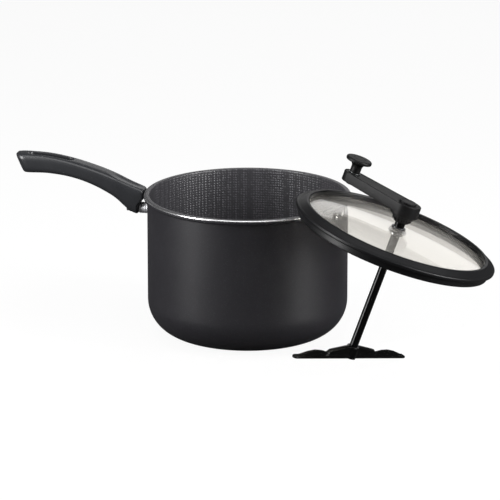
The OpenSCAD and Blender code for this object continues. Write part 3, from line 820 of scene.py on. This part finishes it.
class SAUCEPAN_OT_bush(PieceOperator, bpy.types.Operator):
    """Bush through the glass, its gasket and its push-on ring"""
    bl_idname = "saucepan.bush"
    bl_label = "Bush"

    FLANGE, FLANGE_LOW, FLANGE_HIGH = 9, 3.05, 1.15  # radius, and mm below the glass

    def execute(self, context):
        low, high = GLASS_LOW - self.FLANGE_LOW, GLASS_LOW - self.FLANGE_HIGH
        sleeve = [(BUSH_BORE, low, 0.2), (self.FLANGE, low, 0.5), (self.FLANGE, high, 0.4),
                  (SLEEVE, high, 0.2), (SLEEVE, BUSH_TOP, 0.3), (BUSH_BORE, BUSH_TOP, 0.1)]
        seal = band(RING_BORE, 8.5, GLASS_LOW - 1.1, GLASS_LOW - 0.12, 0.2)
        ring = band(RING_BORE, 7, GLASS_TOP + 0.05, GLASS_TOP + 1.05, 0.25)
        for name, corners, steps, finish, slot, node in (
                ("bush_sleeve", sleeve, 4, "gloss", "black_nylon", "lid_bush"),
                ("bush_seal", seal, 3, "silicone", "black_silicone", "bush_gasket"),
                ("push_ring", ring, 3, "dark_steel", "plated_steel", "bush_ring")):
            lathe(name, fillet(corners, closed=True, steps=steps), finish, "lid", slot, (node,),
                  closed=True, segments=72)
        return {"FINISHED"}


class SAUCEPAN_OT_shaft(PieceOperator, bpy.types.Operator):
    """Drive shaft, with the groove for its clip, placed below the thrust washer"""
    bl_idname = "saucepan.shaft"
    bl_label = "Drive shaft"

    LOW = 2.8  # the shaft stands just above its socket's bottom
    INTO_BOSS = 6
    GROOVE_DEEP = 0.7
    WASHER_LOW = 3.4  # thrust washer's underside, mm below the glass
    GROOVE = (2.3, 1.2)  # groove's ends, mm below the washer

    def execute(self, context):
        r, = in_mm(context.scene.crank_look, "shaft_radius")
        neck, top = r - self.GROOVE_DEEP, BOSS_LOW + self.INTO_BOSS
        low, high = (GLASS_LOW - self.WASHER_LOW - drop for drop in self.GROOVE)
        corners = [(0, self.LOW, 0), (r, self.LOW, 0.8), (r, low, 0.2), (neck, low, 0.1),
                   (neck, high, 0.1), (r, high, 0.2), (r, top, 0.6), (0, top, 0)]
        lathe("shaft_rod", densify(fillet(corners, steps=4), 8.0), "shaft", "crank",
              "shaft_coating", ("drive_shaft",), segments=64)
        return {"FINISHED"}


class SAUCEPAN_OT_paddle(PieceOperator, bpy.types.Operator):
    """Stirring paddle: a foot bar and an upright blade with two lobes and a raised middle"""
    bl_idname = "saucepan.paddle"
    bl_label = "Paddle"

    # distance from the middle; height of the blade's top; thickness of the blade
    HEIGHT = [(0, 13), (9, 12.9), (33, 9.1), (36.5, 6.6), (39, 6.6), (47, 8.1), (56, 8.6),
              (66, 7.2), (78, 4.0), (84, 2.9)]
    THICK = [(0, 6.4), (30, 5.6), (36, 4.6), (39, 3.2), (84, 3.0)]
    NOTCH = (32, 40)  # stretch with finer rows, mm
    TIP_ROUND = 4  # length of the rounded tip, mm
    FOOT, FOOT_HIGH = 3.5, 2.6  # half the foot's width, and its height, mm
    FOOT_KEPT, TOP_KEPT = 0.35, 0.4  # shares of the heights left at the tip

    def section(self, x, tip):
        """Loop of points round the paddle for each x: foot, then blade, whose sizes shrink by an
        arc towards the tip."""
        a = np.abs(x)
        end = np.sqrt(1 - np.clip((a - (tip - self.TIP_ROUND)) / self.TIP_ROUND, 0, 1) ** 2)
        foot = self.FOOT * end
        thick = np.minimum(np.interp(a, *zip(*self.THICK)) / 2, self.FOOT) * end
        high = self.FOOT_HIGH * (self.FOOT_KEPT + (1 - self.FOOT_KEPT) * end)
        top = np.interp(a, *zip(*self.HEIGHT)) * (self.TOP_KEPT + (1 - self.TOP_KEPT) * end)
        top = np.maximum(top, high)
        root = np.minimum(high + 0.6, top)      # where the blade's fillet on the foot ends
        zero = np.zeros_like(x)

        def half(sign):
            """From the foot's middle up to the blade's top, on one side"""
            return [(zero, zero), (sign * (foot - 0.7 * end), zero), (sign * foot, 0.7 * end),
                    (sign * foot, high - 0.8 * end), (sign * (foot - 0.8 * end), high),
                    (sign * (thick + 0.5 * end), high + 0.02), (sign * thick, root),
                    (sign * thick * 0.98, np.maximum(top - 1.3, root)),
                    (sign * thick * 0.6, np.maximum(top - 0.35, high)), (zero, top)]
        loop = half(1) + half(-1)[-2:0:-1]
        return np.stack([pt[0] for pt in loop], -1), np.stack([pt[1] for pt in loop], -1)

    def execute(self, context):
        tip = in_mm(context.scene.crank_look, "paddle")[0] / 2
        q = np.linspace(0, 1, 9)
        tip_low, (fine, coarse) = tip - self.TIP_ROUND, self.NOTCH
        x = np.unique(np.concatenate([np.linspace(0, fine, 17), np.linspace(fine, coarse, 17),
                                      np.linspace(coarse, tip_low, 30),
                                      tip_low + self.TIP_ROUND * np.sin(q * math.pi / 2)]))
        x = np.concatenate([-x[:0:-1], x])
        y, z = self.section(x, tip)
        local = np.stack([np.repeat(x[:, None], y.shape[1], 1), y, z], -1)
        c, s = math.cos(PADDLE_TURN), math.sin(PADDLE_TURN)
        points = place(local @ np.array([[c, s, 0], [-s, c, 0], [0, 0, 1]]), SHAFT_FRAME)
        index = np.arange(y.size).reshape(y.shape)
        faces = grid_faces(index, False, True).tolist() + [index[0].tolist(), index[-1].tolist()]
        make("paddle_blade", points.reshape(-1, 3), faces, ["gloss"], "crank",
             ("paddle",), sharp=45)
        hub = fillet([(0, 0.02, 0), (6.2, 0.02, 0.4), (6.2, 12.6, 0.9), (HUB_BORE, 12.6, 0.2),
                      (HUB_BORE, PADDLE_FLOOR, 0.1), (0, PADDLE_FLOOR, 0)], steps=4)
        lathe("paddle_hub", hub, "gloss", "crank", "black_nylon", segments=72)
        return {"FINISHED"}


class SAUCEPAN_OT_crank(PieceOperator, bpy.types.Operator):
    """Crank arm with its boss, ribbed collar and cap"""
    bl_idname = "saucepan.crank"
    bl_label = "Crank arm"

    BOSS_COLS, END_COLS, SIDE_COLS = 49, 33, 13  # points round the plan's arcs and sides
    CORE = 9.0  # depth at which top and bottom reach the arm's middle line, mm
    LEDGE = 1.2  # hollow under the arm, mm
    DISH = 0.35  # hollow of its top, mm
    COLLAR_GAP = 0.3  # from the bush to the collar, mm
    RIBS, RIB_DEEP = 18, 1.0

    def execute(self, context):
        long_, a, b = in_mm(context.scene.crank_look, "arm boss_radius end_radius")
        self.arm(long_, a, b)
        part = ("crank", "crank_plastic")
        boss = fillet([(0, BOSS_LOW + 0.1, 0), (11.4, BOSS_LOW + 0.1, 0.4),
                       (11.4, BOSS_LOW + 2.2, 0.2), (a, BOSS_LOW + 2.2, 0.5),
                       (a, ARM_LOW + 1.0, 0), (0, ARM_LOW + 1.0, 0)], steps=4)
        lathe("arm_boss", densify(boss, 2.0), "nylon", *part, segments=144)
        low, high = BUSH_TOP + self.COLLAR_GAP, BOSS_LOW - 0.02
        collar = fillet([(HUB_BORE, low, 0.1), (7.6, low, 0.5), (7.6, low + 2.0, 0.2),
                         (9.9, low + 2.0, 0.5), (9.9, high, 0.2), (HUB_BORE, high, 0.1)],
                        closed=True, steps=4)
        lathe("ribbed_collar", densify(collar, 1.5), "nylon", *part, ("hub_collar",), closed=True,
              segments=216, flutes=(self.RIBS, self.RIB_DEEP, low + 2.2, BOSS_LOW - 0.3))
        low, top = BOSS_TOP - 2.6, BOSS_TOP + 1.8
        cap = fillet([(0, low, 0), (8.8, low, 0.2), (8.8, top - 0.4, 0.5), (8.2, top, 0.3),
                      (7.0, top, 0.2), (6.6, top - 0.25, 0.2), (0, top - 0.25, 0)], steps=4)
        lathe("boss_cap", cap, "nylon", *part, ("hub_cap",), segments=96)
        return {"FINISHED"}

    def arm(self, long_, a, b):
        """Arm: a plan outline moved inwards along its normals by the depth of each point of a wall
        profile (depth, height), and closed on the arm's middle line."""
        tilt = math.asin((a - b) / long_)
        # plan outline: an arc round the boss, a side, an arc round the end, a side
        t1 = np.linspace(math.pi / 2 - tilt, 1.5 * math.pi + tilt, self.BOSS_COLS)
        t2 = np.linspace(-math.pi / 2 + tilt, math.pi / 2 - tilt, self.END_COLS)
        side = np.linspace(0, 1, self.SIDE_COLS + 2)[1:-1, None]
        arc_a, arc_b = (np.stack([np.cos(t), np.sin(t)], -1) for t in (t1, t2))
        round_a, round_b = arc_a * a, arc_b * b + [long_, 0]
        outline = np.concatenate([round_a, round_a[-1] + (round_b[0] - round_a[-1]) * side,
                                  round_b, round_b[-1] + (round_a[0] - round_b[-1]) * side])
        normal = np.concatenate([arc_a, np.repeat(arc_a[-1:], len(side), 0),
                                 arc_b, np.repeat(arc_b[-1:], len(side), 0)])
        ledge, dish, core = ARM_LOW + self.LEDGE, BOSS_TOP - self.DISH, self.CORE
        wall = fillet([(core, ledge, 0), (7.0, ledge, 0), (2.2, ledge, 0.3), (1.9, ARM_LOW, 0.3),
                       (0, ARM_LOW, 1.0), (0, BOSS_TOP, 0.9), (1.5, BOSS_TOP, 0.3),
                       (1.8, dish, 0.2), (core, dish, 0)], steps=5)
        spine = np.stack([np.clip(outline[:, 0], 0, long_), np.zeros(len(outline))], -1)
        depth = wall[:, :1, None]
        inward = outline[None] - normal[None] * depth
        inward = np.where(depth > core - 0.1, spine[None], inward)
        height = np.repeat(wall[:, 1][:, None, None], len(outline), 1)
        points = place(np.concatenate([inward, height], -1), SHAFT_FRAME)
        index = np.arange(len(wall) * len(outline)).reshape(len(wall), -1)
        make("arm", points.reshape(-1, 3), grid_faces(index, False, True), ["nylon"], "crank",
             ("crank_arm",), sharp=45)


class SAUCEPAN_OT_knob(PieceOperator, bpy.types.Operator):
    """Mushroom knob with its plug and pin"""
    bl_idname = "saucepan.knob"
    bl_label = "Knob"

    LIFT = 0.75  # from the arm to the knob, mm
    TALL = 14.6
    NECK, BORE = 5.25, 3.1  # radii, mm
    FLARE = 5.6  # radius of the curve from neck to disc, mm
    DISC = 4.0  # thickness of the disc, mm
    DISH = 1.9  # depth of the plug's seat, mm
    HEAD, PIN = 5, 3  # radii of the pin, mm

    def execute(self, context):
        arm, r = in_mm(context.scene.crank_look, "arm knob_radius")
        axes = SHAFT_FRAME.copy()
        axes[0] = axes[0] + axes[1] * arm
        low = BOSS_TOP + self.LIFT
        top, neck, flare_r = low + self.TALL, self.NECK, self.FLARE
        seat = top - self.DISH
        q = np.radians(np.linspace(0, 84, 12))
        flare = np.stack([neck + flare_r * (1 - np.cos(q)),
                          top - self.DISC - flare_r + flare_r * np.sin(q)], -1)
        rim = fillet([(*flare[-1], 0), (r, top - 3.7, 1.3), (r, top - 0.2, 1.4), (6.2, top, 0.15),
                      (6.0, seat, 0.1), (self.BORE, seat, 0)], steps=5)
        foot = [[self.BORE, low + 0.3], [neck - 0.3, low], [neck, low + 0.3]]
        body = np.concatenate([foot, flare, rim[1:], foot[:1]])
        lathe("knob_body", densify(body, 2.0)[:-1], "nylon", "knob", "knob_plastic", ("knob_grip",),
              axes=axes, closed=True, segments=120)
        plug = fillet([(0, top - 1.85, 0), (5.95, top - 1.85, 0.2), (5.95, top - 0.12, 0.3),
                       (5.2, top - 0.05, 0.1), (0, top - 0.05, 0)], steps=3)
        lathe("knob_disc", plug, "nylon", "knob", "knob_plastic", ("knob_plug",), axes=axes,
              segments=96)
        head_low, head_top, pin_top = ARM_LOW - 2.0, ARM_LOW - 0.05, low + 7.6
        pin = fillet([(0, head_low, 0), (self.HEAD, head_low, 0.9), (self.HEAD, head_top, 0.3),
                      (self.PIN, head_top, 0.2), (self.PIN, pin_top, 0.5), (0, pin_top, 0)],
                     steps=4)
        lathe("pin_rod", pin, "steel", "crank", "plated_steel", ("knob_pin",), axes=axes,
              segments=64)
        return {"FINISHED"}


class SAUCEPAN_OT_fittings(PieceOperator, bpy.types.Operator):
    """Small metal fittings keep their own shapes and get their metal"""
    bl_idname = "saucepan.fittings"
    bl_label = "Fittings"

    STEEL = ("screw_washer", "handle_screw", "thrust_washer", "retaining_clip", "cross_pin",
             "hub_screw", "knob_washer", "knob_screw")

    def execute(self, context):
        for name in self.STEEL + ("weld_stud",):
            mesh = NODES[name].data
            mesh.materials.clear()
            mesh.materials.append(material("ferrule" if name == "weld_stud" else "steel"))
        return {"FINISHED"}


def aim(obj, target):
    """Turns a lamp or camera to a point"""
    obj.rotation_mode = "QUATERNION"
    obj.rotation_quaternion = (Vector(target) - obj.location).to_track_quat("-Z", "Y")


class SAUCEPAN_OT_stage(PieceOperator, bpy.types.Operator):
    """Pale floor, white surroundings, softboxes and the camera"""
    bl_idname = "saucepan.stage"
    bl_label = "Stage"

    # name, direction from the pan (degrees round, degrees up), distance in m, size in m, watts
    LIGHTS = (("softbox_left", -141, 24, 1.7, (0.42, 1.5), 33.0),
              ("softbox_right", -14, 24, 1.7, (0.42, 1.5), 42.0),
              ("softbox_top", -100, 78, 1.7, (1.5, 1.0), 12.0),
              ("softbox_back", 90, 21, 1.8, (1.2, 0.4), 1.6))

    LIT_POINT = (0.02, -0.02, 0.08)  # where the softboxes point
    DIM = 0.10  # surroundings for rays other than direct_rays
    HALF, UNDER = 6.0, 0.0004  # half the floor's side, and how far it lies below the pan, m
    GLOW = 0.92  # share of the floor's own light
    LENS, SENSOR = 282.2, 36.0  # mm
    FAR = 50  # camera's last distance, m
    VIEW_Z, ASIDE, ABOVE = 0.07, 0.0024, 0.0148  # point that the camera looks at, m

    def execute(self, context):
        scene = context.scene
        look = scene.stage_look
        scene.view_settings.view_transform = "Standard"
        self.surroundings(scene)
        k, z = self.HALF, -self.UNDER
        mesh = bpy.data.meshes.new("floor")
        mesh.from_pydata([(-k, -k, z), (k, -k, z), (k, k, z), (-k, k, z)], [], [(0, 1, 2, 3)])
        mesh.materials.append(self.floor_material(look.floor))
        floor = bpy.data.objects.new("floor", mesh)
        scene.collection.objects.link(floor)
        for name, turn, up, far, size, watts in self.LIGHTS:
            lamp = bpy.data.lights.new(name, "AREA")
            lamp.shape, lamp.energy = "RECTANGLE", watts
            lamp.size, lamp.size_y = size
            obj = bpy.data.objects.new(name, lamp)
            a, e = math.radians(turn), math.radians(up)
            obj.location = Vector((math.cos(a) * math.cos(e), math.sin(a) * math.cos(e),
                                   math.sin(e))) * far
            scene.collection.objects.link(obj)
            aim(obj, self.LIT_POINT)
        lens = bpy.data.cameras.new("camera")
        lens.lens, lens.sensor_width, lens.clip_end = self.LENS, self.SENSOR, self.FAR
        cam = bpy.data.objects.new("camera", lens)
        scene.collection.objects.link(cam)
        a, e = look.turn, look.elevation
        back = Vector((math.sin(a) * math.cos(e), -math.cos(a) * math.cos(e), math.sin(e)))
        right = Vector((math.cos(a), math.sin(a), 0))
        target = Vector((0, 0, self.VIEW_Z)) + right * self.ASIDE + back.cross(right) * self.ABOVE
        cam.location = target + back * look.distance
        aim(cam, target)
        scene.camera = cam
        return {"FINISHED"}

    def surroundings(self, scene):
        """White to the camera and through glass, dim to other rays, so that blacks stay black"""
        scene.world = bpy.data.worlds.new("surroundings")
        tree = blank(scene.world)
        level = add(tree, "ShaderNodeMapRange", {"Value": direct_rays(tree), "To Min": self.DIM,
                                                 "To Max": 1.0})
        back = add(tree, "ShaderNodeBackground", {"Color": (1, 1, 1, 1),
                                                  "Strength": level.outputs["Result"]})
        add(tree, "ShaderNodeOutputWorld", {"Surface": back.outputs["Background"]})

    def floor_material(self, rgb):
        """Matt white vinyl sweep: diffuse, with light of its own to the camera so it meets the
        white surroundings without an edge, while shadows stay."""
        mat = bpy.data.materials.new("Matt white sweep")
        tree = blank(mat)
        glow = add(tree, "ShaderNodeEmission", {"Color": (1, 1, 1, 1),
                                                "Strength": direct_rays(tree)})
        matt = add(tree, "ShaderNodeBsdfDiffuse", {"Color": linear(rgb)})
        both = add(tree, "ShaderNodeMixShader", {0: self.GLOW, 1: matt.outputs["BSDF"],
                                                 2: glow.outputs["Emission"]})
        add(tree, "ShaderNodeOutputMaterial", {"Surface": both.outputs["Shader"]})
        return mat


STEPS = (SAUCEPAN_OT_pan, SAUCEPAN_OT_handle, SAUCEPAN_OT_ferrule, SAUCEPAN_OT_lid_glass,
         SAUCEPAN_OT_silicone_rim, SAUCEPAN_OT_bush, SAUCEPAN_OT_shaft, SAUCEPAN_OT_paddle,
         SAUCEPAN_OT_crank, SAUCEPAN_OT_knob, SAUCEPAN_OT_fittings, SAUCEPAN_OT_stage)


class SAUCEPAN_PT_panel(bpy.types.Panel):
    """Lists the pieces and their sizes"""
    bl_label = "Saucepan"
    bl_idname = "SAUCEPAN_PT_panel"
    bl_space_type = "VIEW_3D"
    bl_region_type = "UI"
    bl_category = "Saucepan"

    def draw(self, context):
        for name in LOOKS:
            group = getattr(context.scene, name)
            box = self.layout.box()
            for key in group.__annotations__:
                box.prop(group, key)
        for step in STEPS:
            self.layout.operator(step.bl_idname)


LOOKS = {"pan_look": PanSettings, "handle_look": HandleSettings, "lid_look": LidSettings,
         "crank_look": CrankSettings, "stage_look": StageSettings}


def register():
    for cls in (*LOOKS.values(), *STEPS, SAUCEPAN_PT_panel):
        bpy.utils.register_class(cls)
    for name, cls in LOOKS.items():
        setattr(bpy.types.Scene, name, PointerProperty(type=cls))


def unregister():
    for name in LOOKS:
        delattr(bpy.types.Scene, name)
    for cls in reversed((*LOOKS.values(), *STEPS, SAUCEPAN_PT_panel)):
        bpy.utils.unregister_class(cls)


def main():
    register()
    for step in STEPS:
        group, name = step.bl_idname.split(".")
        if getattr(getattr(bpy.ops, group), name)() != {"FINISHED"}:
            raise RuntimeError(f"{step.bl_idname} didn't finish")


if __name__ == "__main__":
    main()
